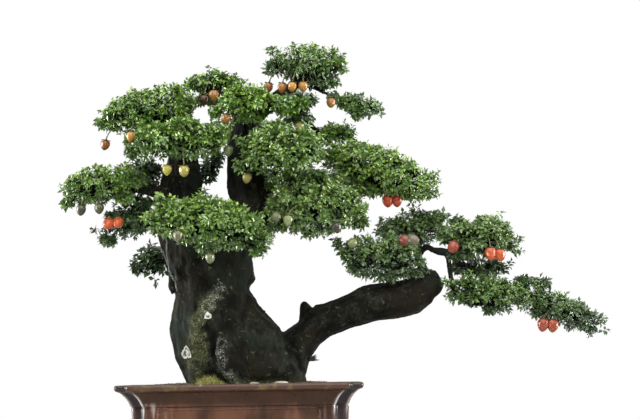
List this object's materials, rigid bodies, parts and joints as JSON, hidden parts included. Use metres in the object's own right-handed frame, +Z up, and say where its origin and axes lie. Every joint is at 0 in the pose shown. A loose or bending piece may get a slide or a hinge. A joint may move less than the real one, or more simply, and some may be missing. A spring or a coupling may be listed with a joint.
{
  "type": "bonsai tree in a pot",
  "caption": "Persimmon bonsai: stout trunk with a long arm to one side, flat leaf cushions and small hanging fruits, in a glazed rectangular pot with notched corners.",
  "frame": {"origin": "under the middle of the pot, on the surface it stands on", "axes": "+X along the pot's long side, the way the long arm of the tree reaches; +Y from the front to the back; +Z up"},
  "size_m": [1.2038, 0.5348, 0.9576],
  "materials": {
    "glaze": "gloss",
    "soil": "matte",
    "bark": "matte",
    "stone": "matte",
    "leaf": "satin",
    "shaded_leaf": "satin",
    "red_fruit": "satin",
    "orange_fruit": "satin",
    "yellow_fruit": "satin",
    "green_fruit": "satin"
  },
  "bodies": {
    "root": {"pot": "glaze", "soil": "soil", "stone_left": "stone", "stone_right": "stone", "trunk": "bark", "leaves_crown": "leaf", "leaves_crown_right": "leaf", "leaves_crown_under": "shaded_leaf", "leaves_high_back": "leaf", "leaves_high_front": "leaf", "leaves_high_left": "leaf", "leaves_mid_left": "leaf", "leaves_low_left": "leaf", "leaves_low_left_inner": "shaded_leaf", "leaves_under_left": "shaded_leaf", "leaves_front_low": "leaf", "leaves_sprig_left": "shaded_leaf", "leaves_centre": "leaf", "leaves_long_right": "leaf", "leaves_long_right_back": "leaf", "leaves_centre_low": "leaf", "leaves_inner_left": "shaded_leaf", "leaves_arm_back": "leaf", "leaves_arm_inner": "leaf", "leaves_arm_right": "leaf", "leaves_arm_under": "shaded_leaf", "leaves_tail_near": "leaf", "leaves_tail_far": "leaf", "leaves_back_high": "leaf", "leaves_back_low": "leaf", "leaves_back_left": "leaf", "fruit_01": "orange_fruit", "fruit_02": "orange_fruit", "fruit_03": "yellow_fruit", "fruit_04": "yellow_fruit", "fruit_05": "green_fruit", "fruit_06": "green_fruit", "fruit_07": "red_fruit", "fruit_08": "yellow_fruit", "fruit_09": "green_fruit", "fruit_10": "orange_fruit", "fruit_11": "orange_fruit", "fruit_12": "orange_fruit", "fruit_13": "green_fruit", "fruit_14": "yellow_fruit", "fruit_15": "green_fruit", "fruit_16": "green_fruit", "fruit_17": "orange_fruit", "fruit_18": "orange_fruit", "fruit_19": "orange_fruit", "fruit_20": "orange_fruit", "fruit_21": "orange_fruit", "fruit_22": "yellow_fruit", "fruit_23": "green_fruit", "fruit_24": "red_fruit", "fruit_25": "green_fruit", "fruit_26": "red_fruit", "fruit_27": "red_fruit", "fruit_28": "red_fruit", "fruit_29": "red_fruit"}
  },
  "joints": []
}
